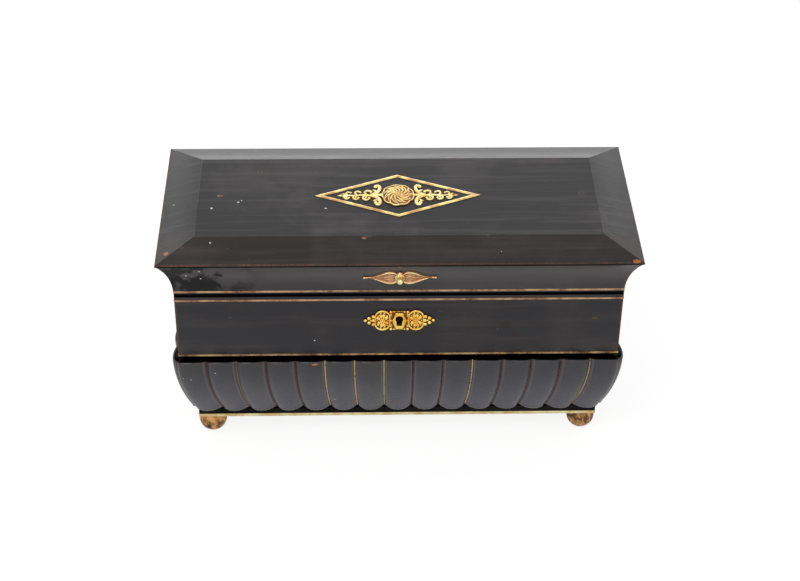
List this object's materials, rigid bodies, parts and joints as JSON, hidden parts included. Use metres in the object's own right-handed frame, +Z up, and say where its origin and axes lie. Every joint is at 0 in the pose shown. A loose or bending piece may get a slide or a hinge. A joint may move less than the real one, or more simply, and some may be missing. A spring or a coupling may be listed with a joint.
{
  "type": "deed box",
  "caption": "Sarcophagus-form box with a hinged lid, gadrooned base, ball feet, pull, escutcheon and a sliding-bolt lock.",
  "frame": {"origin": "on the ground, under the middle of the box", "axes": "+X to the right along the length, -Y to the front, +Z up"},
  "size_m": [0.4, 0.178, 0.2144],
  "materials": {
    "ebonised_wood": "black lacquer over wood, worn to brown at the edges",
    "plain_wood": "bare wood",
    "lining_paper": "dark red lining paper",
    "copper_gilt": "worn coppery gilt line",
    "gilt_brass": "gilt pressed brass",
    "patinated_brass": "brown patinated brass",
    "lock_steel": "plain iron"
  },
  "bodies": {
    "case": {"case_front": "ebonised_wood", "case_back": "ebonised_wood", "case_left": "ebonised_wood", "case_right": "ebonised_wood", "base_moulding_front": "ebonised_wood", "base_moulding_back": "ebonised_wood", "base_moulding_left": "ebonised_wood", "base_moulding_right": "ebonised_wood", "floor_board": "plain_wood", "floor_lining": "lining_paper", "plinth_front": "ebonised_wood", "plinth_back": "ebonised_wood", "plinth_left": "ebonised_wood", "plinth_right": "ebonised_wood", "case_line": "copper_gilt", "foot_line": "gilt_brass", "plinth_edging": "gilt_brass", "foot_front_left": "patinated_brass", "foot_front_right": "patinated_brass", "foot_back_left": "patinated_brass", "foot_back_right": "patinated_brass", "foot_studs": "lock_steel", "escutcheon": "gilt_brass", "escutcheon_pins": "gilt_brass", "lock_case": "lock_steel", "lock_cap": "gilt_brass", "lock_selvedge": "gilt_brass", "lock_screws": "gilt_brass", "lock_spring": "lock_steel", "hinge_case_leaf_left": "patinated_brass", "hinge_case_leaf_right": "patinated_brass", "hinge_pin_left": "patinated_brass", "hinge_pin_right": "patinated_brass", "hinge_screws_case": "patinated_brass"},
    "lid": {"cavetto_front": "ebonised_wood", "cavetto_back": "ebonised_wood", "cavetto_left": "ebonised_wood", "cavetto_right": "ebonised_wood", "slope_front": "ebonised_wood", "slope_back": "ebonised_wood", "slope_left": "ebonised_wood", "slope_right": "ebonised_wood", "lid_panel": "ebonised_wood", "lid_lining": "lining_paper", "lid_line": "copper_gilt", "lozenge_frame": "gilt_brass", "scroll_mount": "gilt_brass", "rosette": "gilt_brass", "mount_pins": "gilt_brass", "pull_plate": "gilt_brass", "pull_knob": "gilt_brass", "link_plate": "gilt_brass", "link_screws": "gilt_brass", "hinge_lid_leaf_left": "patinated_brass", "hinge_lid_leaf_right": "patinated_brass", "hinge_screws_lid": "patinated_brass"},
    "bolt": {"lock_bolt": "lock_steel"}
  },
  "joints": [
    {"name": "lid_hinge", "type": "hinge", "parent": "case", "child": "lid", "pos_m": [0, 0.07905, 0.16325], "axis": [-1, 0, 0], "range_deg": [0, 100]},
    {"name": "bolt_slide", "type": "slide", "parent": "case", "child": "bolt", "axis": [1, 0, 0], "range_m": [0, 0.005]}
  ]
}
